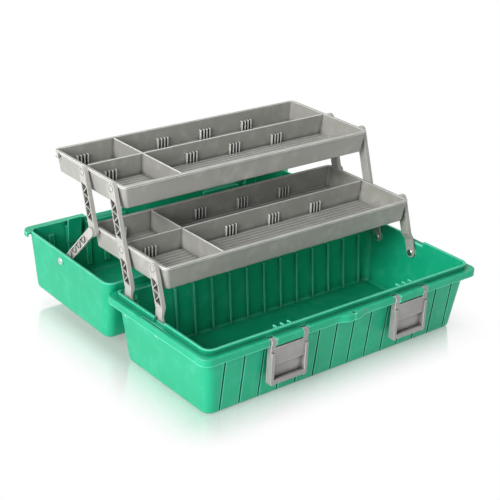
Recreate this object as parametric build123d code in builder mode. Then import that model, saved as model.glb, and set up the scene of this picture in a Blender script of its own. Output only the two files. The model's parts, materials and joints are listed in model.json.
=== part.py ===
"""Cantilever tool box: a ribbed base, a hinged lid swung back and two trays on folding arms.

The frame: millimetres, +Z up, +X along the box, -Y towards the latches.
The origin is the centre of the base's underside, and the lid stands open.
"""
import os
from math import atan2, cos, radians, sin

from build123d import *

os.makedirs("parts", exist_ok=True)

# Fits shared by all pieces
overrun = 3.0  # how far a cut runs past what it cuts
running_gap = 0.08  # radial play of a piece that turns on its pin
fixed_gap = 0.03  # radial play of a pin that stays put
side_gap = 0.4  # play between pieces that pass each other
seat_gap = 0.2  # play between pieces that lie on each other

# Base box
lip_length = 400.0  # outside of the upright lip
lip_depth = 176.0
base_height = 87.0
base_draft_x = 10.0  # how far each end leans in from the lip to the floor
base_draft_y = 10.0
base_wall = 3.0
base_floor = 3.2
base_corner = 12.0
base_round = 6.0  # outside edge of the floor
base_inner_round = 4.0
lip_height = 6.0
flange_reach = 7.5  # ledge that stands out round the lip
flange_thick = 3.0
skirt_height = 8.5
skirt_wall = 2.4
flange_round = 1.2
flange_corner = 11.0
groove_count = 14
groove_pitch = 26.6
groove_width = 2.4
groove_depth = 2.0
ridge_width = 2.6  # inside of each groove
ridge_height = 3.0
notch_length = 20.0  # gap in each end lip beside the front arm
notch_back = 6.0  # how far the notch reaches behind the front arm's rivet
slot_length = 46.0  # slit in each end flange
slot_width = 1.8
fin_count = 3  # gussets behind each latch
fin_pitch = 10.0
fin_thick = 2.0
fin_reach = 6.5
fin_drop = 16.0

# Padlock lobes in the front flanges
lobe_width = 48.0
lobe_flat = 10.0  # straight stretch in the middle
lobe_reach = 5.0
padlock_radius = 2.25
padlock_inset = 3.8  # hole centre from the lobe's front edge

# Arms and their pivots
base_pivot_y = 3.2
base_pivot_z = 69.0
pivot_pitch = 61.0
arm_reach = 70.0
open_lean = 18.0  # degrees from upright
arm_width = 12.5
arm_thick = 5.4
foot_count = 2  # arms that stand on the base, at each end
foot_thick = 3.0
foot_reach = 17.0  # straight foot, from the rivet to the joggle
joggle_length = 9.0
truss_cell = 7.2
truss_frame = 1.2  # solid edge beside the pockets
truss_web = 1.1
truss_depth = 4.4
hub_length = 6.5  # solid stretch on each side of a pivot
ring_radius = 4.0  # ring round each pivot on the arm's outer face
ring_width = 1.1
ring_depth = 0.6
stud_radius = 2.8
stud_reach = 3.2  # stud past the tray's rim, into the arm
rivet_radius = 2.0
rivet_head_radius = 4.4
rivet_head_height = 1.6
rivet_head_round = 1.0
pad_radius = 7.0

# Trays
tray_length = 371.4
tray_depth = 150.0
tray_height = 28.0
tray_draft_x = 4.0
tray_draft_y = 2.4
tray_wall = 1.9
tray_floor = 1.8
tray_corner = 5.0
tray_round = 2.0
tray_rim_width = 1.3
tray_rim_height = 2.6
divider_wall = 1.7
divider_drop = 0.4  # dividers end just under the rim
cross_share = 0.21  # cross divider, from the left end
long_share = 0.56  # long divider, from the front
stud_inset = 16.4  # front stud behind the tray's front edge
stud_drop = 5.0  # studs under the tray's rim
stud_count = 3
rib_count = 4  # upright ribs in one divider rack
rib_pitch = 4.8
rib_width = 1.4
rib_reach = 3.0
rib_height = 14.0
near_rack_share = 0.38  # rack in a short bay, from its left end
far_rack_shares = (0.25, 0.485, 0.725)  # racks in a long bay, from its left end
line_pitch = 6.5  # raised lines along the tray floor
line_width = 1.2
line_height = 0.6
line_inset = 4.0

# Lid, with sizes given as it lies closed on the base
lid_height = 77.5
lid_open_angle = 178.8  # degrees from shut
lid_wall = 2.5
lid_top = 2.3
lid_draft_x = 5.5
lid_draft_y = 8.0
lid_play = 1.0  # lid wall outside the base lip
lid_overhang = 2.0  # lid flange past the base flange
lid_corner = 12.0
lid_round = 9.0
lid_inner_round = 7.0
lid_flange_thick = 3.0
lid_skirt_height = 6.0
lid_flange_return = 16.0  # flange round each front corner
lid_ridge_width = 7.0
lid_groove_height = 52.0
link_rivet_rise = 11.0  # link rivet above the lid's rim
link_rivet_y = -11.4
link_thick = 3.0
link_pocket_depth = 2.0
link_width = 11.0
link_pad_radius = 5.0

# Locating tabs inside the lid's front wall
tab_spread = 141.5  # each tab from the middle
tab_width = 19.0
tab_thick = 2.4
tab_drop = 5.0  # past the lid's rim, behind the base's lip
tab_rise = 28.0

# Lid hinges
hinge_axis_back = 6.0  # hinge line behind the base lip
hinge_axis_rise = 4.5  # hinge line above the base flange
hinge_spread = 110.0  # each hinge from the middle
knuckle_count = 3  # in one hinge
knuckle_radius = 3.6
knuckle_length = 17.0
hinge_pin_radius = 1.5
lug_drop = 9.0

# Latches
latch_spread = 93.0  # each latch from the middle
latch_width = 52.0
latch_length = 52.5  # pin to free end
latch_depth = 8.5
latch_plate = 2.4
latch_cheek = 4.2
latch_ear_width = 6.4
latch_ear_radius = 4.4
latch_axis_out = 5.0  # pin in front of the base lip
latch_axis_drop = 4.6  # pin under the base flange's top
latch_pin_radius = 1.6
latch_back = 3.2  # plate's back, from the pin towards the box
latch_neck = 7.0  # pin to the top of the plate
latch_step = 12.6  # pin to the top of the cheeks
latch_corner = 3.0
latch_round = 0.8
panel_inset = 2.2  # upper panel behind the front of the cheeks
panel_share = 0.45  # upper panel's part of the plate's height
hook_height = 6.0
hook_reach = 4.4
hook_rise = 1.0  # hook above the latch's free end
catch_height = 6.5
catch_bite = 4.0  # how far the catch stands in front of the latch pocket
pocket_play = 1.5
block_round = 1.0
block_line_shares = (-0.5, 0.3)  # raised lines on the block, in shares of its half depth
block_line_width = 1.1
block_line_height = 0.2

# Carry handle
handle_span = 132.0  # between the middles of its two arms
handle_reach = 46.0  # pin to grip
handle_bar = 13.0  # thickness off the lid
handle_width = 20.0  # grip, front to back
handle_arm_thick = 11.0
handle_round = 4.0
handle_pin_radius = 2.5
handle_lug_thick = 7.0
handle_lug_radius = 6.0

# Places that follow from the sizes above
flange_top = base_height - lip_height
flange_length = lip_length + 2 * flange_reach
flange_depth = lip_depth + 2 * flange_reach
lean = radians(open_lean)
step_y = arm_reach * sin(lean)
step_z = arm_reach * cos(lean)
arm_inner = tray_length / 2 + side_gap
arm_outer = arm_inner + arm_thick
lower_pivot = (base_pivot_y + step_y, base_pivot_z + step_z)
upper_pivot = (lower_pivot[0] + pivot_pitch + step_y, lower_pivot[1] + step_z)
link_inner = arm_outer + side_gap
link_outer = link_inner + link_thick
hinge_y = lip_depth / 2 + hinge_axis_back
hinge_z = flange_top + hinge_axis_rise
hinge_line = Axis((0, hinge_y, hinge_z), (1, 0, 0))
lid_rim_z = flange_top + seat_gap
lid_top_z = lid_rim_z + lid_height
lid_inner_length = lip_length + 2 * lid_play
lid_inner_depth = lip_depth + 2 * lid_play
lid_length = lid_inner_length + 2 * lid_wall
lid_depth = lid_inner_depth + 2 * lid_wall
latch_y = -(lip_depth / 2 + latch_axis_out)
latch_z = flange_top - latch_axis_drop
padlock_y = -flange_depth / 2 - lobe_reach + padlock_inset
sides = {"left": -1, "right": 1}


def base_length_at(height):
    return lip_length - 2 * base_draft_x * (1 - height / base_height)


def base_depth_at(height):
    return lip_depth - 2 * base_draft_y * (1 - height / base_height)


def lid_length_at(height):
    return lid_length - 2 * lid_draft_x * (height - lid_rim_z) / lid_height


def lid_depth_at(height):
    return lid_depth - 2 * lid_draft_y * (height - lid_rim_z) / lid_height


def outline(height, length, depth, corner):
    """A level rounded rectangle, as one section of a drafted box."""
    with BuildSketch(Plane.XY.offset(height), mode=Mode.PRIVATE) as section:
        RectangleRounded(length, depth, corner)
    return section.sketch


def drafted_box(low, high, rounded_end, rounding):
    """A box between two outlines, with the edges of one end rounded."""
    with BuildPart() as box:
        loft([low, high])
        end = box.faces().sort_by(Axis.Z)[rounded_end]
        fillet(end.edges(), rounding)
    return box.part


def lobe(front):
    """A smooth lobe in front of a straight front edge, as a level sketch."""
    blend = (lobe_width + lobe_flat) / 4
    tip = front - lobe_reach
    root = front + lobe_reach
    with BuildSketch(mode=Mode.PRIVATE) as shape:
        with BuildLine():
            Bezier((-lobe_width / 2, front), (-blend, front), (-blend, tip), (-lobe_flat / 2, tip))
            Line((-lobe_flat / 2, tip), (lobe_flat / 2, tip))
            Bezier((lobe_flat / 2, tip), (blend, tip), (blend, front), (lobe_width / 2, front))
            Line((lobe_width / 2, front), (lobe_width / 2, root))
            Line((lobe_width / 2, root), (-lobe_width / 2, root))
            Line((-lobe_width / 2, root), (-lobe_width / 2, front))
        make_face()
    return shape.sketch


def end_plane(side, reach, y=0.0, z=0.0):
    """A plane square to the box's length, facing outwards, with its local x along +Y."""
    return Plane(origin=(side * reach, y, z), x_dir=(0, 1, 0), z_dir=(side, 0, 0))


def wall_plane(front, depth, height, draft, rise):
    """A plane on a drafted long wall, facing outwards. A wall that narrows upwards has a negative draft."""
    tilt = atan2(draft, rise)
    facing = -1 if front else 1
    return Plane(
        origin=(0, facing * depth / 2, height),
        x_dir=(1, 0, 0),
        z_dir=(0, facing * cos(tilt), -sin(tilt)),
    )


def rivet(side, inner, outer, y, z):
    """A steel rivet across the box's end: a shank between two rounded heads."""
    with BuildPart() as body:
        with BuildSketch(end_plane(side, inner - rivet_head_height, y, z)):
            Circle(rivet_head_radius)
        extrude(amount=rivet_head_height)
        with BuildSketch(end_plane(side, outer, y, z)):
            Circle(rivet_head_radius)
        extrude(amount=rivet_head_height)
        ends = body.faces().sort_by(Axis.X)
        fillet(ends[0].edges() + ends[-1].edges(), rivet_head_round)
        with BuildSketch(end_plane(side, inner, y, z)):
            Circle(rivet_radius)
        extrude(amount=outer - inner)
    return body.part


def truss(start, end, half):
    """Alternating triangles between two pivots, as one sketch along an arm."""
    count = int((end - start) / truss_cell) - 1
    first = (start + end) / 2 - truss_cell * (count - 1) / 2
    for cell in range(count):
        middle = first + cell * truss_cell
        edge = half if cell % 2 else -half
        spread = truss_cell - truss_web
        Polygon(
            (middle - spread, edge),
            (middle + spread, edge),
            (middle, -edge),
            align=None,
        )


def arm(side, y, z, pivots, has_foot):
    """A moulded arm leaning back from (y, z), with a pocketed outer face and a blind socket at each pivot."""
    root = (side * arm_inner, y, z)
    upward = (0, sin(lean), cos(lean))
    along = Plane(origin=root, x_dir=upward, z_dir=(side, 0, 0))
    edgewise = Plane(origin=root, x_dir=upward, z_dir=(0, side * cos(lean), -side * sin(lean)))
    length = pivots[-1]
    far_end = length + arm_width
    full = foot_outer - arm_inner if has_foot else arm_thick
    bar_start = foot_reach + joggle_length
    sockets = pivots[1:] if has_foot else pivots
    stops = (bar_start - hub_length, *sockets) if has_foot else sockets
    with BuildPart() as body:
        with BuildSketch(along):
            with Locations((length / 2, 0)):
                SlotCenterToCenter(length, arm_width)
        extrude(amount=full)
        if has_foot:
            foot_inner = full - foot_thick
            with BuildSketch(edgewise):
                Polygon(
                    (-arm_width, -overrun),
                    (bar_start, -overrun),
                    (bar_start, 0),
                    (foot_reach, foot_inner),
                    (-arm_width, foot_inner),
                    align=None,
                )
                Polygon(
                    (foot_reach, full + overrun),
                    (far_end, full + overrun),
                    (far_end, arm_thick),
                    (bar_start, arm_thick),
                    (foot_reach, full),
                    align=None,
                )
            extrude(amount=arm_width, both=True, mode=Mode.SUBTRACT)
            with BuildSketch(along):
                Circle(rivet_radius + running_gap)
            extrude(amount=full + overrun, mode=Mode.SUBTRACT)
        with BuildSketch(along.offset(arm_thick)):
            for low, high in zip(stops, stops[1:]):
                truss(low + hub_length, high - hub_length, arm_width / 2 - truss_frame)
        extrude(amount=-truss_depth, mode=Mode.SUBTRACT)
        with BuildSketch(along):
            for place in sockets:
                with Locations((place, 0)):
                    Circle(stud_radius + running_gap)
        extrude(amount=stud_reach - side_gap + seat_gap, mode=Mode.SUBTRACT)
        with BuildSketch(along.offset(arm_thick)):
            for place in sockets:
                with Locations((place, 0)):
                    Circle(ring_radius + ring_width / 2)
                    Circle(ring_radius - ring_width / 2, mode=Mode.SUBTRACT)
        extrude(amount=-ring_depth, mode=Mode.SUBTRACT)
    return body.part


# Base: a drafted box with a lip, a flange with a skirt, grooved long walls and the latch and hinge seats
pad_inner = base_length_at(base_pivot_z - pad_radius) / 2 - base_wall - seat_gap
foot_outer = pad_inner - seat_gap
pad_outer = base_length_at(base_pivot_z + pad_radius) / 2 + seat_gap
block_half = latch_width / 2 - latch_ear_width - side_gap
block_depth = latch_axis_out + 2 * latch_ear_radius
block_y = latch_y + latch_axis_out / 2
skirt_low = flange_top - skirt_height
with BuildPart() as flange:
    with BuildSketch(Plane.XY.offset(skirt_low)):
        RectangleRounded(flange_length, flange_depth, flange_corner)
        add(lobe(-flange_depth / 2))
    extrude(amount=skirt_height)
    fillet(flange.faces().sort_by(Axis.Z)[-1].edges(), flange_round)
    with BuildSketch(Plane.XY.offset(skirt_low)):
        RectangleRounded(
            flange_length - 2 * skirt_wall,
            flange_depth - 2 * skirt_wall,
            flange_corner - skirt_wall,
        )
    extrude(amount=skirt_height - flange_thick, mode=Mode.SUBTRACT)
    with BuildSketch(Plane.XY.offset(skirt_low)):
        with Locations((0, padlock_y)):
            Circle(padlock_radius)
    extrude(amount=skirt_height, mode=Mode.SUBTRACT)

with BuildPart() as base_box:
    add(
        drafted_box(
            outline(0, base_length_at(0), base_depth_at(0), base_corner),
            outline(base_height, lip_length, lip_depth, base_corner),
            0,
            base_round,
        )
    )
    add(flange.part)
    # Latch cut-outs in the flange, each with its knuckle block
    for side in sides.values():
        with BuildSketch(Plane.XY.offset(skirt_low - overrun)):
            with Locations((side * latch_spread, -lip_depth / 2 - flange_reach / 2 - overrun / 2)):
                Rectangle(latch_width + 2 * pocket_play, flange_reach + overrun)
        extrude(amount=skirt_height + 2 * overrun, mode=Mode.SUBTRACT)
        with BuildSketch(end_plane(1, side * latch_spread - block_half)):
            with Locations((block_y, latch_z)):
                RectangleRounded(block_depth, 2 * latch_ear_radius, block_round)
        extrude(amount=2 * block_half)
        with BuildSketch(Plane.XY.offset(latch_z + latch_ear_radius)):
            for share in block_line_shares:
                with Locations((side * latch_spread, block_y + share * block_depth / 2)):
                    Rectangle(2 * block_half, block_line_width)
        extrude(amount=block_line_height)
        with BuildSketch(end_plane(1, side * latch_spread - block_half - overrun)):
            with Locations((latch_y, latch_z)):
                Circle(latch_pin_radius + fixed_gap)
        extrude(amount=2 * block_half + 2 * overrun, mode=Mode.SUBTRACT)
    # Hinge lugs on the rear flange
    for side in sides.values():
        for part_side in sides.values():
            lug_x = side * hinge_spread + part_side * (knuckle_length + side_gap) - knuckle_length / 2
            with BuildSketch(end_plane(1, lug_x)):
                with Locations((hinge_y, hinge_z)):
                    Circle(knuckle_radius)
                with Locations((hinge_y + seat_gap, hinge_z - lug_drop / 2)):
                    Rectangle(2 * hinge_pin_radius + seat_gap, lug_drop)
            extrude(amount=knuckle_length)
            with BuildSketch(end_plane(1, lug_x - overrun)):
                with Locations((hinge_y, hinge_z)):
                    Circle(hinge_pin_radius + fixed_gap)
            extrude(amount=knuckle_length + 2 * overrun, mode=Mode.SUBTRACT)
    # The hollow, then flat pads through the end walls for the arm feet
    add(
        drafted_box(
            outline(
                base_floor,
                base_length_at(base_floor) - 2 * base_wall,
                base_depth_at(base_floor) - 2 * base_wall,
                base_corner - base_wall,
            ),
            outline(
                base_height + overrun,
                base_length_at(base_height + overrun) - 2 * base_wall,
                base_depth_at(base_height + overrun) - 2 * base_wall,
                base_corner - base_wall,
            ),
            0,
            base_inner_round,
        ),
        mode=Mode.SUBTRACT,
    )
    for side in sides.values():
        with BuildSketch(end_plane(side, pad_inner)):
            for foot in range(foot_count):
                with Locations((base_pivot_y + foot * pivot_pitch, side * base_pivot_z)):
                    Circle(pad_radius)
        extrude(amount=pad_outer - pad_inner)
        with BuildSketch(end_plane(side, pad_inner - overrun)):
            for foot in range(foot_count):
                with Locations((base_pivot_y + foot * pivot_pitch, side * base_pivot_z)):
                    Circle(rivet_radius + fixed_gap)
        extrude(amount=pad_outer - pad_inner + 2 * overrun, mode=Mode.SUBTRACT)
    # Grooves outside and ridges inside the long walls, at one pitch
    groove_length = skirt_low + base_round
    for is_front in (True, False):
        middle = skirt_low / 2
        with BuildSketch(wall_plane(is_front, base_depth_at(middle), middle, base_draft_y, base_height)):
            with GridLocations(groove_pitch, 0, groove_count, 1):
                Rectangle(groove_width, groove_length)
        extrude(amount=-groove_depth, mode=Mode.SUBTRACT)
        inner_depth = base_depth_at(middle) - 2 * base_wall
        with BuildSketch(wall_plane(is_front, inner_depth, middle, base_draft_y, base_height)):
            with GridLocations(groove_pitch, 0, groove_count, 1):
                Rectangle(ridge_width, skirt_low - 2 * base_floor)
        extrude(amount=-ridge_height)
    # The lip is left off along the hinges and notched beside each front arm
    with BuildSketch(Plane.XY.offset(flange_top)):
        with Locations((0, lip_depth / 2)):
            Rectangle(flange_length, 2 * base_wall + 2 * side_gap)
        for side in sides.values():
            with Locations((side * lip_length / 2, base_pivot_y + notch_back - notch_length / 2)):
                Rectangle(2 * base_wall + 2 * side_gap, notch_length)
    extrude(amount=lip_height + overrun, mode=Mode.SUBTRACT)
    with BuildSketch(Plane.XY.offset(flange_top - flange_thick - overrun)):
        for side in sides.values():
            with Locations((side * (lip_length + flange_reach) / 2, base_pivot_y)):
                SlotOverall(slot_length, slot_width, rotation=90)
    extrude(amount=flange_thick + 2 * overrun, mode=Mode.SUBTRACT)
    # Gusset fins inside the lip behind each latch
    fin_y = -lip_depth / 2 + base_wall
    fin_low_y = -base_depth_at(base_height - fin_drop) / 2 + base_wall / 2
    for side in sides.values():
        for fin in range(fin_count):
            fin_x = side * latch_spread + (fin - (fin_count - 1) / 2) * fin_pitch - fin_thick / 2
            with BuildSketch(end_plane(1, fin_x)):
                Polygon(
                    (fin_y - base_wall / 2, base_height),
                    (fin_y + fin_reach, base_height),
                    (fin_low_y, base_height - fin_drop),
                    align=None,
                )
            extrude(amount=fin_thick)
base_box.part.label = "base_box"
export_step(base_box.part, "parts/base_box.step")


# Trays: one moulding with a long and a cross divider, divider racks, floor lines and pivot studs.
# It is built with its rim at zero height and placed twice.
body_length = tray_length - 2 * tray_rim_width
body_depth = tray_depth - 2 * tray_rim_width
inner_length = body_length - 2 * tray_wall - 2 * tray_draft_x
inner_depth = body_depth - 2 * tray_wall - 2 * tray_draft_y
inner_corner = tray_corner - tray_wall
cross_x = -inner_length / 2 + cross_share * inner_length
long_y = -inner_depth / 2 + long_share * inner_depth
mid_floor = Plane.XY.offset(tray_floor / 2 - tray_height)
with BuildPart() as tray:
    add(
        drafted_box(
            outline(-tray_height, body_length - 2 * tray_draft_x, body_depth - 2 * tray_draft_y, tray_corner),
            outline(0, body_length, body_depth, tray_corner),
            0,
            tray_round,
        )
    )
    with BuildSketch():
        RectangleRounded(tray_length, tray_depth, tray_corner + tray_rim_width)
    extrude(amount=-tray_rim_height)
    add(
        drafted_box(
            outline(tray_floor - tray_height, inner_length, inner_depth, inner_corner),
            outline(overrun, body_length - 2 * tray_wall, body_depth - 2 * tray_wall, inner_corner),
            0,
            tray_round,
        ),
        mode=Mode.SUBTRACT,
    )
    with BuildSketch(mid_floor):
        with Locations((0, long_y)):
            Rectangle(inner_length + tray_wall, divider_wall)
        with Locations((cross_x, 0)):
            Rectangle(divider_wall, inner_depth + tray_wall)
    extrude(amount=tray_height - tray_floor / 2 - divider_drop)
    with BuildSketch(mid_floor):
        rack_backs = (long_y - divider_wall / 2, inner_depth / 2)
        bays = ((-inner_length / 2, cross_x, (near_rack_share,)), (cross_x, inner_length / 2, far_rack_shares))
        for back in rack_backs:
            for low, high, shares in bays:
                for share in shares:
                    with Locations((low + share * (high - low), back)):
                        with GridLocations(rib_pitch, 0, rib_count, 1):
                            Rectangle(rib_width, 2 * rib_reach)
    extrude(amount=tray_floor / 2 + rib_height)
    with BuildSketch(mid_floor):
        line_count = int((inner_depth - 2 * line_inset) / line_pitch)
        with GridLocations(0, line_pitch, 1, line_count):
            Rectangle(inner_length - 2 * line_inset, line_width)
    extrude(amount=tray_floor / 2 + line_height)
    stud_front = stud_inset - tray_depth / 2
    stud_root = body_length / 2 - tray_wall
    for side in sides.values():
        with BuildSketch(end_plane(side, stud_root)):
            for stud in range(stud_count):
                with Locations((stud_front + stud * pivot_pitch, -side * stud_drop)):
                    Circle(stud_radius)
        extrude(amount=tray_length / 2 + stud_reach - stud_root)
for name, (pivot_y, pivot_z) in {"lower_tray": lower_pivot, "upper_tray": upper_pivot}.items():
    placed_tray = Location((0, pivot_y - stud_front, pivot_z + stud_drop)) * tray.part
    placed_tray.label = name
    export_step(placed_tray, f"parts/{name}.step")

# Arms and the rivets that hold their feet to the base, the same on both ends
for word, side in sides.items():
    main_pivot_y = base_pivot_y + pivot_pitch
    rear_pivot_y = lower_pivot[0] + (stud_count - 1) * pivot_pitch
    pieces = {
        "front_arm": arm(side, base_pivot_y, base_pivot_z, (0.0, arm_reach), True),
        "main_arm": arm(side, main_pivot_y, base_pivot_z, (0.0, arm_reach, 2 * arm_reach), True),
        "rear_arm": arm(side, rear_pivot_y, lower_pivot[1], (0.0, arm_reach), False),
    }
    head_inner = foot_outer - foot_thick - seat_gap
    for name, pivot_y in (("front_arm_rivet", base_pivot_y), ("main_arm_rivet", main_pivot_y)):
        pieces[name] = rivet(side, head_inner, pad_outer, pivot_y, base_pivot_z)
    for name, piece in pieces.items():
        piece.label = f"{name}_{word}"
        export_step(piece, f"parts/{name}_{word}.step")

# Lid, built as it lies closed and then swung back about its hinge line
latch_front = latch_y + latch_back - latch_depth
pocket_floor = 2 * latch_y - latch_front + side_gap
pocket_half = latch_width / 2 + pocket_play
skin_front = pocket_floor - panel_inset
skin_back = -lip_depth / 2 - seat_gap
ledge_low = base_height + seat_gap
ledge_high = latch_z + latch_step - side_gap
pocket_high = lid_rim_z + lid_height * (pocket_floor + lid_depth / 2) / lid_draft_y
hook_low = latch_z - latch_length + hook_rise
catch_top = 2 * latch_z - hook_low - hook_height - side_gap
catch_front = 2 * latch_y - latch_front - catch_bite
link_rivet_z = lid_rim_z + link_rivet_rise
link_pad_inner = link_outer + seat_gap
link_wall_outer = lid_length_at(link_rivet_z - link_pad_radius) / 2 + seat_gap
handle_axis_z = lid_top_z + seat_gap + handle_bar / 2
lug_inner = handle_span / 2 + handle_arm_thick / 2 + side_gap
rim_length = flange_length + 2 * lid_overhang
rim_depth = flange_depth + 2 * lid_overhang
rim_corner = flange_corner + lid_overhang
with BuildPart() as rim_flange:
    # Along the front and round its corners, with a skirt and a padlock lobe
    with BuildSketch(Plane.XY.offset(lid_rim_z)):
        RectangleRounded(rim_length, rim_depth, rim_corner)
        add(lobe(-rim_depth / 2))
    extrude(amount=lid_skirt_height)
    with BuildSketch(Plane.XY.offset(lid_rim_z + lid_flange_thick)):
        RectangleRounded(rim_length - 2 * skirt_wall, rim_depth - 2 * skirt_wall, rim_corner - skirt_wall)
    extrude(amount=lid_skirt_height, mode=Mode.SUBTRACT)
    with BuildSketch(Plane.XY.offset(lid_rim_z)):
        with Locations((0, lid_flange_return)):
            Rectangle(rim_length + overrun, rim_depth)
        with Locations((0, padlock_y)):
            Circle(padlock_radius)
    extrude(amount=lid_skirt_height, mode=Mode.SUBTRACT)

with BuildPart() as lid_closed:
    add(
        drafted_box(
            outline(lid_rim_z, lid_length, lid_depth, lid_corner),
            outline(lid_top_z, lid_length_at(lid_top_z), lid_depth_at(lid_top_z), lid_corner),
            -1,
            lid_round,
        )
    )
    add(rim_flange.part)
    # Grooves in the long walls
    groove_middle = lid_rim_z + lid_height / 2
    for is_front in (True, False):
        with BuildSketch(wall_plane(is_front, lid_depth_at(groove_middle), groove_middle, -lid_draft_y, lid_height)):
            with GridLocations(groove_pitch, 0, groove_count, 1):
                Rectangle(groove_width, lid_groove_height)
        extrude(amount=-groove_depth, mode=Mode.SUBTRACT)
    # Hollow
    add(
        drafted_box(
            outline(lid_rim_z - overrun, lid_inner_length, lid_inner_depth, lid_corner - lid_wall),
            outline(
                lid_top_z - lid_top,
                lid_length_at(lid_top_z) - 2 * lid_wall,
                lid_depth_at(lid_top_z) - 2 * lid_wall,
                lid_corner - lid_wall,
            ),
            -1,
            lid_inner_round,
        ),
        mode=Mode.SUBTRACT,
    )
    # Ridges inside the grooves
    for is_front in (True, False):
        inner_depth = lid_depth_at(groove_middle) - 2 * lid_wall
        with BuildSketch(wall_plane(is_front, inner_depth, groove_middle, -lid_draft_y, lid_height)):
            with GridLocations(groove_pitch, 0, groove_count, 1):
                Rectangle(lid_ridge_width, lid_groove_height)
        extrude(amount=-ridge_height)
    # Locating tabs that drop behind the base's lip
    tab_low = lid_rim_z - tab_drop
    tab_high = lid_rim_z + tab_rise
    tab_front = -base_depth_at(tab_low) / 2 + base_wall + side_gap
    tab_back = tab_front + tab_thick
    for side in sides.values():
        with BuildSketch(end_plane(1, side * tab_spread - tab_width / 2)):
            Polygon(
                (tab_front, tab_low),
                (tab_back, tab_low),
                (tab_back, tab_high),
                (lid_wall / 2 - lid_depth_at(tab_high) / 2, tab_high),
                (lid_wall / 2 - lid_depth_at(ledge_low) / 2, ledge_low),
                (tab_front, ledge_low),
                align=None,
            )
        extrude(amount=tab_width)
    # A pocket and a catch for each latch
    for side in sides.values():
        pocket_x = side * latch_spread
        pocket_width = 2 * (pocket_half + lid_wall)
        with BuildSketch(Plane.XY.offset(ledge_low)):
            with Locations((pocket_x, pocket_floor)):
                Rectangle(pocket_width, 2 * lid_wall)
        extrude(amount=pocket_high - ledge_low)
        with BuildSketch(Plane.XY.offset(lid_rim_z)):
            with Locations((pocket_x, (skin_front + skin_back) / 2)):
                Rectangle(pocket_width, skin_back - skin_front)
        extrude(amount=ledge_high - lid_rim_z)
        for low, high, floor_y in ((ledge_high, lid_top_z, pocket_floor), (lid_rim_z, ledge_high, skin_front)):
            with BuildSketch(Plane.XY.offset(low)):
                with Locations((pocket_x, floor_y - lid_depth / 2)):
                    Rectangle(2 * pocket_half, lid_depth)
            extrude(amount=high - low, mode=Mode.SUBTRACT)
        catch_root = -lid_depth_at(catch_top - catch_height) / 2 + lid_wall / 2
        with BuildSketch(end_plane(1, side * latch_spread - block_half)):
            Polygon(
                (catch_root, catch_top),
                (catch_front, catch_top),
                (catch_front, catch_top - catch_height / 2),
                (catch_root, catch_top - catch_height),
                align=None,
            )
        extrude(amount=2 * block_half)
    # Hinge knuckles between the base's lugs, with room for the lugs
    for side in sides.values():
        for part_side in sides.values():
            gap_x = side * hinge_spread + part_side * (knuckle_length + side_gap) - knuckle_length / 2 - side_gap
            with BuildSketch(end_plane(1, gap_x)):
                with Locations((hinge_y, hinge_z)):
                    Circle(knuckle_radius + side_gap)
            extrude(amount=knuckle_length + 2 * side_gap, mode=Mode.SUBTRACT)
        with BuildSketch(end_plane(1, side * hinge_spread - knuckle_length / 2)):
            with Locations((hinge_y, hinge_z)):
                Circle(knuckle_radius)
            with Locations((hinge_y - hinge_axis_back / 2 + lid_play / 2, hinge_z)):
                Rectangle(hinge_axis_back - lid_play, 2 * knuckle_radius - 2 * side_gap)
        extrude(amount=knuckle_length)
        with BuildSketch(end_plane(1, side * hinge_spread - knuckle_length)):
            with Locations((hinge_y, hinge_z)):
                Circle(hinge_pin_radius + running_gap)
        extrude(amount=2 * knuckle_length, mode=Mode.SUBTRACT)
    # Pads for the link rivets
    for side in sides.values():
        with BuildSketch(end_plane(side, link_pad_inner, link_rivet_y, link_rivet_z)):
            Circle(link_pad_radius)
        extrude(amount=link_wall_outer - link_pad_inner)
        with BuildSketch(end_plane(side, link_pad_inner - overrun, link_rivet_y, link_rivet_z)):
            Circle(rivet_radius + fixed_gap)
        extrude(amount=link_wall_outer - link_pad_inner + 2 * overrun, mode=Mode.SUBTRACT)
    # Lugs for the handle
    for side in sides.values():
        with BuildSketch(end_plane(side, lug_inner)):
            with Locations((0, side * handle_axis_z)):
                Circle(handle_lug_radius)
            with Locations((0, side * (handle_axis_z + lid_top_z - lid_top / 2) / 2)):
                Rectangle(2 * handle_lug_radius, handle_axis_z - lid_top_z + lid_top / 2)
        extrude(amount=handle_lug_thick)
        with BuildSketch(end_plane(side, lug_inner - overrun)):
            with Locations((0, side * handle_axis_z)):
                Circle(handle_pin_radius + fixed_gap)
        extrude(amount=handle_lug_thick + 2 * overrun, mode=Mode.SUBTRACT)
lid_shell = lid_closed.part.rotate(hinge_line, -lid_open_angle)
lid_shell.label = "lid_shell"
export_step(lid_shell, "parts/lid_shell.step")

# Hinge pins
for word, side in sides.items():
    pin_half = knuckle_count * knuckle_length / 2 + side_gap
    with BuildPart() as hinge_pin:
        with BuildSketch(end_plane(1, side * hinge_spread - pin_half, hinge_y, hinge_z)):
            Circle(hinge_pin_radius)
        extrude(amount=2 * pin_half)
    hinge_pin.part.label = f"hinge_pin_{word}"
    export_step(hinge_pin.part, f"parts/hinge_pin_{word}.step")

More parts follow.
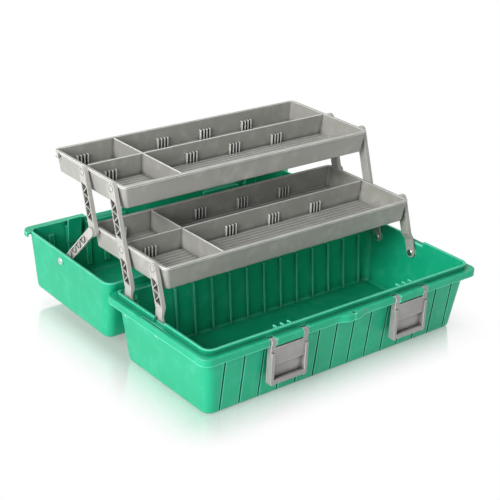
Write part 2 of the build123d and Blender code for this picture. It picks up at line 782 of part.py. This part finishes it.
# Links from the lid's ends to the rear arms' lower pivots, and their rivets in the lid
lid_swing = radians(lid_open_angle)
root_y = link_rivet_y - hinge_y
root_z = link_rivet_z - hinge_z
link_root = (
    hinge_y + root_y * cos(lid_swing) + root_z * sin(lid_swing),
    hinge_z - root_y * sin(lid_swing) + root_z * cos(lid_swing),
)
link_tip = (lower_pivot[0] + (stud_count - 1) * pivot_pitch, lower_pivot[1])
link_run = (link_tip[0] - link_root[0], link_tip[1] - link_root[1])
link_length = (link_run[0] ** 2 + link_run[1] ** 2) ** 0.5
for word, side in sides.items():
    along = Plane(
        origin=(side * link_inner, link_root[0], link_root[1]),
        x_dir=(0, link_run[0], link_run[1]),
        z_dir=(side, 0, 0),
    )
    with BuildPart() as lid_link:
        with BuildSketch(along):
            with Locations((link_length / 2, 0)):
                SlotCenterToCenter(link_length, link_width)
        extrude(amount=link_thick)
        with BuildSketch(along.offset(link_thick)):
            truss(hub_length, link_length - hub_length, link_width / 2 - truss_frame)
        extrude(amount=-link_pocket_depth, mode=Mode.SUBTRACT)
        with BuildSketch(along):
            Circle(rivet_radius + running_gap)
        extrude(amount=link_thick + overrun, mode=Mode.SUBTRACT)
        with BuildSketch(along):
            Circle(rivet_head_radius + running_gap)
        extrude(amount=rivet_head_height + seat_gap, mode=Mode.SUBTRACT)
    lid_link.part.label = f"lid_link_{word}"
    export_step(lid_link.part, f"parts/lid_link_{word}.step")
    link_rivet = rivet(side, link_inner + rivet_head_height, link_wall_outer, link_root[0], link_root[1])
    link_rivet.label = f"lid_link_rivet_{word}"
    export_step(link_rivet, f"parts/lid_link_rivet_{word}.step")

# Latches, hanging open from their pins
latch_low = latch_z - latch_length
plate_height = latch_length - latch_neck
for word, side in sides.items():
    latch_x = side * latch_spread
    with BuildPart() as latch:
        with BuildSketch(Plane.XZ.offset(-latch_front - latch_depth)):
            with Locations((latch_x, latch_z - (latch_neck + latch_length) / 2)):
                RectangleRounded(latch_width, plate_height, latch_corner)
        extrude(amount=latch_depth)
        fillet(latch.faces().sort_by(Axis.Y)[0].edges(), latch_round)
        with BuildSketch(Plane.XZ.offset(-latch_front)):
            with Locations((latch_x, latch_z - latch_step / 2)):
                Rectangle(latch_width + overrun, latch_step)
            with Locations((latch_x, latch_z - latch_length / 2)):
                Rectangle(latch_width - 2 * latch_cheek, latch_length + overrun)
        extrude(amount=-panel_inset, mode=Mode.SUBTRACT)
        with BuildSketch(Plane.XZ.offset(-latch_front)):
            with Locations((latch_x, latch_low)):
                Rectangle(latch_width - 2 * latch_cheek, 2 * (1 - panel_share) * plate_height)
        extrude(amount=latch_plate - latch_depth, mode=Mode.SUBTRACT)
        for ear in sides.values():
            ear_x = latch_x + ear * (latch_width - latch_ear_width) / 2 - latch_ear_width / 2
            with BuildSketch(end_plane(1, ear_x)):
                with Locations((latch_y, latch_z)):
                    Circle(latch_ear_radius)
                with Locations((latch_y, latch_z - latch_neck / 2 - latch_round)):
                    Rectangle(2 * latch_back, latch_neck + 2 * latch_round)
            extrude(amount=latch_ear_width)
        with BuildSketch(end_plane(1, latch_x - latch_width / 2 + latch_cheek / 2)):
            with Locations((latch_front + hook_reach / 2, hook_low + hook_height / 2)):
                RectangleRounded(hook_reach, hook_height, latch_round)
        extrude(amount=latch_width - latch_cheek)
        with BuildSketch(end_plane(1, latch_x - latch_width)):
            with Locations((latch_y, latch_z)):
                Circle(latch_pin_radius + running_gap)
        extrude(amount=2 * latch_width, mode=Mode.SUBTRACT)
    latch.part.label = f"latch_{word}"
    export_step(latch.part, f"parts/latch_{word}.step")
    with BuildPart() as latch_pin:
        with BuildSketch(end_plane(1, latch_x - latch_width / 2 + latch_round, latch_y, latch_z)):
            Circle(latch_pin_radius)
        extrude(amount=latch_width - 2 * latch_round)
    latch_pin.part.label = f"latch_pin_{word}"
    export_step(latch_pin.part, f"parts/latch_pin_{word}.step")

# Carry handle, folded flat on the lid, and its two pins
with BuildPart() as handle_closed:
    for side in sides.values():
        with BuildSketch(end_plane(1, side * handle_span / 2 - handle_arm_thick / 2)):
            with Locations((-handle_reach / 2, handle_axis_z)):
                SlotCenterToCenter(handle_reach, handle_bar)
        extrude(amount=handle_arm_thick)
    with BuildSketch(end_plane(1, -(handle_span + handle_arm_thick) / 2)):
        with Locations((-handle_reach, handle_axis_z)):
            RectangleRounded(handle_width, handle_bar, handle_round)
    extrude(amount=handle_span + handle_arm_thick)
    with BuildSketch(end_plane(1, -handle_span)):
        with Locations((0, handle_axis_z)):
            Circle(handle_pin_radius + running_gap)
    extrude(amount=2 * handle_span, mode=Mode.SUBTRACT)
carry_handle = handle_closed.part.rotate(hinge_line, -lid_open_angle)
carry_handle.label = "carry_handle"
export_step(carry_handle, "parts/carry_handle.step")
for word, side in sides.items():
    with BuildPart() as handle_pin_closed:
        with BuildSketch(end_plane(side, handle_span / 2 - handle_arm_thick / 2)):
            with Locations((0, side * handle_axis_z)):
                Circle(handle_pin_radius)
        extrude(amount=handle_arm_thick + side_gap + handle_lug_thick)
    handle_pin = handle_pin_closed.part.rotate(hinge_line, -lid_open_angle)
    handle_pin.label = f"handle_pin_{word}"
    export_step(handle_pin, f"parts/handle_pin_{word}.step")
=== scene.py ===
"""A cantilever tool box, open: green base and lid, grey trays on folding arms, latches hanging down."""
import json
from math import cos, radians, sin

import bpy
from mathutils import Matrix, Vector


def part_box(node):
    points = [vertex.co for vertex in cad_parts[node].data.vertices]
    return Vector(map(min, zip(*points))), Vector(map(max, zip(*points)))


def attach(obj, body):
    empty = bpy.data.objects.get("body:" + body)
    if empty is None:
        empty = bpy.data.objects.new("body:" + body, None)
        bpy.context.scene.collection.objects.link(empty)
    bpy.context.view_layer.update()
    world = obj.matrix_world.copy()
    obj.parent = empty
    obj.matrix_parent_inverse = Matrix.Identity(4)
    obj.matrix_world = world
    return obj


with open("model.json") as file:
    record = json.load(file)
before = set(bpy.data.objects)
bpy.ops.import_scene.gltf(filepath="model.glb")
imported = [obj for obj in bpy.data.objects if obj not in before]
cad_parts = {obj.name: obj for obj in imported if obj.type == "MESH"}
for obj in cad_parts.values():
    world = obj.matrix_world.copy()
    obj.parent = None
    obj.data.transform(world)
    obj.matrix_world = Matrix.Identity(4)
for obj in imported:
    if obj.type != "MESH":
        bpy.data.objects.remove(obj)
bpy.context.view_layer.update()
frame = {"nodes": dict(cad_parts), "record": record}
nodes = frame["nodes"]
MM = 0.001


# Base box: one injection moulding in green polypropylene, with a fine spark-eroded grain on its
# outside. The mould's edges are broken a little, and a pale painted highlight runs along them.
class Wire:
    """One socket of a material. Arithmetic on it adds the Math nodes that it stands for."""

    def __init__(self, tree, socket=None):
        self.tree = tree
        self.socket = socket

    def node(self, kind, settings, values, output=0):
        """A new node from settings and the values or wires of its sockets. Gives one output, if asked."""
        made = self.tree.nodes.new(kind)
        for name, setting in settings.items():
            if name == "stops":
                for stop, (place, shade) in zip(made.color_ramp.elements, setting):
                    stop.position = place
                    stop.color = (shade, shade, shade, 1.0)
            else:
                setattr(made, name, setting)
        for name, value in values.items():
            if isinstance(value, Wire):
                self.tree.links.new(value.socket, made.inputs[name])
            else:
                made.inputs[name].default_value = value
        return None if output is None else Wire(self.tree, made.outputs[output])

    def math(self, operation, first, second):
        return self.node("ShaderNodeMath", {"operation": operation}, {0: first, 1: second})

    def blend(self, share, first, second):
        """A colour between two. The mix node takes the share at socket 0, its colours at 6 and 7."""
        return self.node("ShaderNodeMix", {"data_type": "RGBA"}, {0: share, 6: first, 7: second}, 2)

    def __add__(self, other):
        return self.math("ADD", self, other)

    __radd__ = __add__

    def __mul__(self, other):
        return self.math("MULTIPLY", self, other)

    __rmul__ = __mul__

    def __sub__(self, other):
        return self.math("SUBTRACT", self, other)

    def __rsub__(self, other):
        return self.math("SUBTRACT", other, self)


def start_material(name):
    """A material with nothing but its shader, and the wire and shader to build it on."""
    material = bpy.data.materials.new(name)
    material.use_nodes = True
    return material, Wire(material.node_tree), material.node_tree.nodes["Principled BSDF"]


def moulded_plastic(
    name, deep, pale, edge_highlight, gloss, grain_size, grain_depth, edge_round, thin, crevice
):
    """Moulded plastic: grain, flow marks, fine scuffs, a pale painted highlight on edges and painted
    shade in crevices.
    """
    material, wire, shader = start_material(name)
    place = wire.node("ShaderNodeTexCoord", {}, {}, "Object")
    # Flow marks run along the box, marks of handling lie anywhere, scuffs are short and slanting
    flow_stretch = (9.0, 22.0, 22.0)
    handling_scale = 60.0
    scuff_stretch = (40.0, 260.0, 700.0)
    scuff_slant = (0.2, 0.1, 0.3)
    scuff_stops = ((0.68, 0.0), (0.76, 1.0))
    noise = "ShaderNodeTexNoise"
    flow_place = wire.node("ShaderNodeMapping", {}, {"Vector": place, "Scale": flow_stretch})
    flow = wire.node(noise, {}, {"Vector": flow_place, "Scale": 1.0, "Detail": 3.0})
    handling = wire.node(noise, {}, {"Vector": place, "Scale": handling_scale, "Detail": 4.0})
    grain = wire.node(noise, {}, {"Vector": place, "Scale": 1 / grain_size, "Detail": 2.0})
    scuff_place = wire.node(
        "ShaderNodeMapping", {}, {"Vector": place, "Scale": scuff_stretch, "Rotation": scuff_slant}
    )
    scuff_noise = wire.node(noise, {}, {"Vector": scuff_place, "Scale": 1.0, "Detail": 2.0})
    scuff = wire.node("ShaderNodeValToRGB", {"stops": scuff_stops}, {"Fac": scuff_noise})
    # Sharp edges and thin ones get a pale painted highlight, stronger in some places than in others
    sharp_gain = 5.0
    thin_gain = 2.6
    thin_start = 0.4
    uneven_highlight = 0.5
    facing = wire.node("ShaderNodeNewGeometry", {}, {}, "Normal")
    softened = wire.node("ShaderNodeBevel", {"samples": 6}, {"Radius": edge_round})
    agreement = wire.node(
        "ShaderNodeVectorMath", {"operation": "DOT_PRODUCT"}, {0: facing, 1: softened}, "Value"
    )
    inner = {"samples": 8, "only_local": True, "inside": True}
    solidity = wire.node("ShaderNodeAmbientOcclusion", inner, {"Distance": thin}, "AO")
    sharp_highlight = (1 - agreement) * sharp_gain
    thin_highlight = (1 - solidity) * thin_gain - thin_start
    highlight_mask = wire.math("MAXIMUM", sharp_highlight, thin_highlight)
    painted_highlight = wire.node("ShaderNodeClamp", {}, {"Value": highlight_mask - (handling - 0.5) * uneven_highlight})
    # Inner corners and pockets are darkened with painted shade
    shade_gain = 1.8
    shade_start = 0.3
    shade_share = 0.16
    outer = {"samples": 8, "only_local": True}
    openness = wire.node("ShaderNodeAmbientOcclusion", outer, {"Distance": crevice}, "AO")
    shaded = wire.node("ShaderNodeClamp", {}, {"Value": (1 - openness) * shade_gain - shade_start})
    shade = tuple(part * shade_share for part in deep[:3]) + (1.0,)
    body = wire.blend(flow * 0.8 + scuff * 0.15, deep, pale)
    # The edges take the pale painted highlight colour
    edged = wire.blend(painted_highlight * 0.9, body, edge_highlight)
    # The painted shade is mixed in last
    colour = wire.blend(shaded * 0.85, edged, shade)
    roughness = gloss + (flow - 0.5) * 0.12 + (handling - 0.5) * 0.10 + scuff * 0.08
    bump = wire.node(
        "ShaderNodeBump",
        {},
        {"Strength": 0.35, "Distance": grain_depth, "Height": grain, "Normal": softened},
    )
    links = material.node_tree.links
    links.new(colour.socket, shader.inputs["Base Color"])
    links.new(roughness.socket, shader.inputs["Roughness"])
    links.new(bump.socket, shader.inputs["Normal"])
    shader.inputs["IOR"].default_value = 1.49
    shader.inputs["Specular IOR Level"].default_value = 0.3
    return material


def finish_with(material, *names):
    """Gives pieces their material in place of the plain one that they came with."""
    for name in names:
        mesh = nodes[name].data
        mesh.materials.clear()
        mesh.materials.append(material)


# The green plastic gets a pale painted highlight on its edges and painted shade in its inside corners.
green_plastic = moulded_plastic(
    "green moulded plastic",
    deep=(0.002, 0.310, 0.156, 1.0),
    pale=(0.010, 0.410, 0.222, 1.0),
    edge_highlight=(0.150, 0.760, 0.540, 1.0),
    gloss=0.36,
    grain_size=0.9 * MM,
    grain_depth=0.10 * MM,
    edge_round=0.9 * MM,
    thin=2.0 * MM,
    crevice=18.0 * MM,
)
finish_with(green_plastic, "base_box", "lid_shell")

# Trays: two like mouldings in warm grey plastic, thinner and a little glossier than the box. Their
# thin rims and dividers get an almost white painted highlight, and their corners painted shade.
tray_plastic = moulded_plastic(
    "grey tray plastic",
    deep=(0.268, 0.268, 0.243, 1.0),
    pale=(0.365, 0.363, 0.334, 1.0),
    edge_highlight=(0.940, 0.935, 0.905, 1.0),
    gloss=0.40,
    grain_size=0.7 * MM,
    grain_depth=0.06 * MM,
    edge_round=0.8 * MM,
    thin=1.6 * MM,
    crevice=7.0 * MM,
)
finish_with(tray_plastic, "lower_tray", "upper_tray")

# Arms and lid links: pale grey bars, moulded with a lattice of pockets in the outer face to save
# plastic. The front and main arms have cranked feet, which are riveted to the base's end walls.
# Their edges get a pale painted highlight, and their pockets painted shade.
arm_plastic = moulded_plastic(
    "pale arm plastic",
    deep=(0.345, 0.338, 0.316, 1.0),
    pale=(0.450, 0.440, 0.414, 1.0),
    edge_highlight=(0.820, 0.805, 0.770, 1.0),
    gloss=0.42,
    grain_size=0.7 * MM,
    grain_depth=0.05 * MM,
    edge_round=0.5 * MM,
    thin=0.1 * MM,
    crevice=7.0 * MM,
)
ends = ("left", "right")
arm_names = ("front_arm", "main_arm", "rear_arm", "lid_link")
finish_with(arm_plastic, *(f"{arm}_{end}" for arm in arm_names for end in ends))

# Pivot bosses: the arms snap over the trays' studs, and a low round boss closes each socket inside
# its moulded ring. They are alike at every pivot, so one tree of nodes makes all of them.
joints = frame["record"]["behaviour"]["joints"]
joint_places = {joint["name"]: Vector(joint["pos_m"]) for joint in joints}
lower_middle = joint_places["lower_tray_level"]
lower_rear = joint_places["rear_arms_swing"]
upper_front = joint_places["upper_tray_level"]
pivot_step = lower_rear - lower_middle
boss_places = {
    "front_arms": [lower_middle - pivot_step],
    "main_arms": [lower_middle, upper_front],
    "rear_arms": [lower_rear, upper_front + pivot_step],
}
boss_tree = bpy.data.node_groups.new("pivot bosses", "GeometryNodeTree")
boss_tree.interface.new_socket("Places", in_out="INPUT", socket_type="NodeSocketGeometry")
boss_sizes = {"Foot radius": 3.3 * MM, "Crown radius": 2.7 * MM, "Height": 0.2 * MM}
size_keys = {}
for label in boss_sizes:
    socket = boss_tree.interface.new_socket(label, in_out="INPUT", socket_type="NodeSocketFloat")
    size_keys[label] = socket.identifier
boss_tree.interface.new_socket("Bosses", in_out="OUTPUT", socket_type="NodeSocketGeometry")
wire = Wire(boss_tree)
boss_size = {label: wire.node("NodeGroupInput", {}, {}, label) for label in boss_sizes}
boss = wire.node(
    "GeometryNodeMeshCone",
    {},
    {
        "Vertices": 28,
        "Radius Top": boss_size["Crown radius"],
        "Radius Bottom": boss_size["Foot radius"],
        "Depth": boss_size["Height"],
    },
    "Mesh",
)
spot = wire.node("GeometryNodeInputPosition", {}, {}, "Position")
across = wire.node("ShaderNodeSeparateXYZ", {}, {"Vector": spot}, "X")
end_sign = wire.node("ShaderNodeMath", {"operation": "SIGN"}, {0: across})
outward = wire.node("ShaderNodeCombineXYZ", {}, {"X": end_sign})
turn = wire.node("FunctionNodeAlignRotationToVector", {"axis": "Z"}, {"Vector": outward}, "Rotation")
spots = wire.node("NodeGroupInput", {}, {}, "Places")
copies = wire.node(
    "GeometryNodeInstanceOnPoints", {}, {"Points": spots, "Instance": boss, "Rotation": turn}, "Instances"
)
real = wire.node("GeometryNodeRealizeInstances", {}, {"Geometry": copies}, "Geometry")
dressed = wire.node(
    "GeometryNodeSetMaterial", {}, {"Geometry": real, "Material": arm_plastic}, "Geometry"
)
wire.node("NodeGroupOutput", {}, {"Bosses": dressed}, None)
boss_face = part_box("rear_arm_right")[1][0]
for body, places in boss_places.items():
    spots_mesh = bpy.data.meshes.new(f"pivot_bosses_{body}")
    points = [(side * boss_face, place.y, place.z) for side in (-1, 1) for place in places]
    spots_mesh.from_pydata(points, [], [])
    bosses = bpy.data.objects.new(f"pivot_bosses_{body}", spots_mesh)
    bpy.context.scene.collection.objects.link(bosses)
    maker = bosses.modifiers.new("bosses", "NODES")
    maker.node_group = boss_tree
    for label, size in boss_sizes.items():
        maker[size_keys[label]] = size
    grown = bosses.evaluated_get(bpy.context.evaluated_depsgraph_get())
    made = bpy.data.meshes.new_from_object(grown)
    bosses.modifiers.remove(maker)
    bosses.data = made
    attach(bosses, body)

# Latches and carry handle: tough grey plastic with a smooth, slightly shiny skin. The latches
# hang open from the base's lip, and the handle is folded under the open lid.
# Their edges get a pale painted highlight, and their hollows painted shade.
latch_plastic = moulded_plastic(
    "latch plastic",
    deep=(0.250, 0.243, 0.237, 1.0),
    pale=(0.340, 0.330, 0.322, 1.0),
    edge_highlight=(0.720, 0.705, 0.690, 1.0),
    gloss=0.34,
    grain_size=0.6 * MM,
    grain_depth=0.04 * MM,
    edge_round=0.7 * MM,
    thin=1.0 * MM,
    crevice=8.0 * MM,
)
finish_with(latch_plastic, "latch_left", "latch_right", "carry_handle")

# Rivets and pins: plated steel wire, faintly brushed along its length. The rivets have headed
# ends that show outside, and the pins lie inside the hinges, the latches and the handle.
steel, wire, shader = start_material("plated steel")
place = wire.node("ShaderNodeTexCoord", {}, {}, "Object")
brushed_stretch = (200.0, 3000.0, 3000.0)
dull_steel = (0.60, 0.60, 0.60, 1.0)
bright_steel = (0.78, 0.77, 0.75, 1.0)
brushed_place = wire.node("ShaderNodeMapping", {}, {"Vector": place, "Scale": brushed_stretch})
brushing = wire.node("ShaderNodeTexNoise", {}, {"Vector": brushed_place, "Scale": 1.0, "Detail": 2.0})
tint = wire.blend(brushing, dull_steel, bright_steel)
steel.node_tree.links.new(tint.socket, shader.inputs["Base Color"])
steel.node_tree.links.new((brushing * 0.2 + 0.18).socket, shader.inputs["Roughness"])
shader.inputs["Metallic"].default_value = 1.0
rivets = ("front_arm_rivet", "main_arm_rivet", "lid_link_rivet")
pins = ("hinge_pin", "latch_pin", "handle_pin")
finish_with(steel, *(f"{piece}_{end}" for piece in rivets + pins for end in ends))

# Studio: a pale polished floor that mirrors the foot of the box and fades to white, three soft lamps,
# and the camera at the photograph's angle.
floor_half = 8.0
corners = [(floor_half * x, floor_half * y, 0) for x, y in ((-1, -1), (1, -1), (1, 1), (-1, 1))]
floor_mesh = bpy.data.meshes.new("floor")
floor_mesh.from_pydata(corners, [], [(0, 1, 2, 3)])
floor = bpy.data.objects.new("floor", floor_mesh)
bpy.context.scene.collection.objects.link(floor)
paper, wire, shader = start_material("pale floor")
white = (1.0, 1.0, 1.0, 1.0)
mirror_share = 0.60
mirror_roughness = 0.09
shader.inputs["Base Color"].default_value = (0.93, 0.93, 0.93, 1.0)
shader.inputs["Roughness"].default_value = 0.5
place = wire.node("ShaderNodeTexCoord", {}, {}, "Object")
footprint_middle = Vector((0.0, 97.0, 0.0)) * MM
footprint_half = Vector((192.0, 172.0, 0.0)) * MM
fade_start = -20.0 * MM
fade_end = 70.0 * MM
fade_least = 0.20
vector = "ShaderNodeVectorMath"
inward = wire.node(vector, {"operation": "SUBTRACT"}, {0: place, 1: footprint_middle})
distances = wire.node(vector, {"operation": "ABSOLUTE"}, {0: inward})
beyond = wire.node(vector, {"operation": "SUBTRACT"}, {0: distances, 1: footprint_half})
outside = wire.node(vector, {"operation": "MAXIMUM"}, {0: beyond, 1: (0.0, 0.0, 0.0)})
reach = wire.node(vector, {"operation": "LENGTH"}, {0: outside}, "Value")
fade = wire.node(
    "ShaderNodeMapRange",
    {"interpolation_type": "SMOOTHSTEP"},
    {"Value": reach, "From Min": fade_start, "From Max": fade_end, "To Min": fade_least, "To Max": 1.0},
)
seen = wire.node("ShaderNodeLightPath", {}, {}, "Is Camera Ray")
mirrored = wire.node("ShaderNodeLightPath", {}, {}, "Is Glossy Ray")
matt = Wire(wire.tree, shader.outputs["BSDF"])
polish = wire.node("ShaderNodeBsdfGlossy", {}, {"Color": white, "Roughness": mirror_roughness})
glow = wire.node("ShaderNodeEmission", {}, {"Color": white, "Strength": 1.0})
lit = wire.node("ShaderNodeMixShader", {}, {0: mirror_share, 1: matt, 2: polish})
surface = wire.node("ShaderNodeMixShader", {}, {0: fade * (seen + mirrored), 1: lit, 2: glow})
paper.node_tree.links.new(surface.socket, paper.node_tree.nodes["Material Output"].inputs["Surface"])
floor_mesh.materials.append(paper)

lamps = {
    # name: where it hangs, what it looks at, its size and its power
    "key": ((-2.2, -0.5, 1.2), (0.0, 0.0, 0.1), 1.4, 72.0),
    "front": ((0.1, -2.4, 0.9), (0.0, 0.0, 0.1), 1.6, 11.0),
    "overhead": ((0.2, 1.1, 2.0), (0.0, 0.0, 0.1), 1.6, 27.0),
}
for name, (stand, aim, size, power) in lamps.items():
    lamp = bpy.data.lights.new(name, "AREA")
    lamp.size = size
    lamp.energy = power
    holder = bpy.data.objects.new(name, lamp)
    holder.location = stand
    holder.rotation_euler = (Vector(aim) - Vector(stand)).to_track_quat("-Z", "Y").to_euler()
    bpy.context.scene.collection.objects.link(holder)

world = bpy.data.worlds.new("studio")
world.use_nodes = True
bpy.context.scene.world = world
sky = Wire(world.node_tree)
seen = sky.node("ShaderNodeLightPath", {}, {}, "Is Camera Ray")
mirrored = sky.node("ShaderNodeLightPath", {}, {}, "Is Glossy Ray")
backdrop = world.node_tree.nodes["Background"]
backdrop.inputs["Color"].default_value = white
fill_light = 0.17
brightness = (seen + mirrored) * (1 - fill_light) + fill_light
world.node_tree.links.new(brightness.socket, backdrop.inputs["Strength"])

azimuth = radians(-39.54)
elevation = radians(24.17)
roll = radians(2.66)
target = Vector((-48.12, 33.42, 120.0)) * MM
distance = 1458.0 * MM
forward = -Vector((sin(azimuth) * cos(elevation), -cos(azimuth) * cos(elevation), sin(elevation)))
level_right = forward.cross(Vector((0, 0, 1))).normalized()
level_up = level_right.cross(forward)
right = cos(roll) * level_right + sin(roll) * level_up
up = cos(roll) * level_up - sin(roll) * level_right
lens = bpy.data.cameras.new("camera")
lens.sensor_width = 36.0
lens.lens = 90.4
camera = bpy.data.objects.new("camera", lens)
facing = Matrix((right, up, -forward)).transposed().to_4x4()
camera.matrix_world = Matrix.Translation(target - forward * distance) @ facing
bpy.context.scene.collection.objects.link(camera)
bpy.context.scene.camera = camera
bpy.context.scene.view_settings.view_transform = "Standard"
